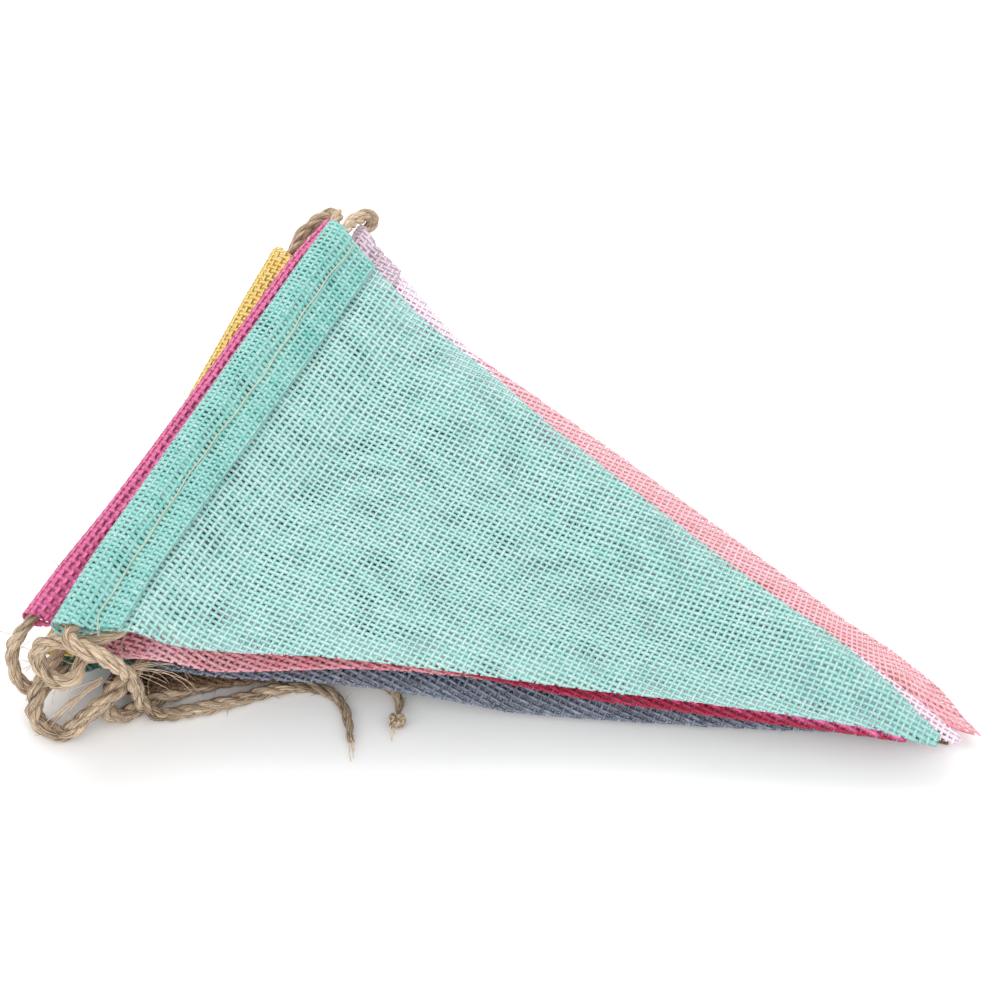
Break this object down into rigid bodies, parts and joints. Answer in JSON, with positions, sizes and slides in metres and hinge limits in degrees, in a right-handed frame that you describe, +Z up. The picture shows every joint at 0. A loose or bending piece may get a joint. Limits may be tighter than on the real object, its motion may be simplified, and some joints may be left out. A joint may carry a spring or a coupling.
{
  "type": "linen bunting",
  "caption": "Folded-up stack of small triangular open-weave cloth pennants, strung on one length of jute twine that runs through the sewn pocket at each wide end.",
  "frame": {"origin": "middle of the whole part's outline, on the surface that it lies on", "axes": "+X from the hems to the tips of the pennants, +Y along the hems, +Z up"},
  "size_m": [0.2298, 0.1768, 0.0389],
  "materials": {
    "amber_cloth": "matt woven",
    "teal_cloth": "matt woven",
    "navy_cloth": "matt woven",
    "yellow_cloth": "matt woven",
    "coral_cloth": "matt woven",
    "magenta_cloth": "matt woven",
    "lilac_cloth": "matt woven",
    "mint_cloth": "matt woven",
    "jute": "rough twisted fibre",
    "jute_knot": "rough twisted fibre"
  },
  "bodies": {
    "root": {"pennant_amber": "amber_cloth", "pennant_teal": "teal_cloth", "pennant_navy": "navy_cloth", "pennant_yellow": "yellow_cloth", "pennant_coral": "coral_cloth", "pennant_magenta": "magenta_cloth", "pennant_lilac": "lilac_cloth", "pennant_mint": "mint_cloth", "twine": "jute", "tail_knot": "jute_knot"}
  },
  "joints": []
}
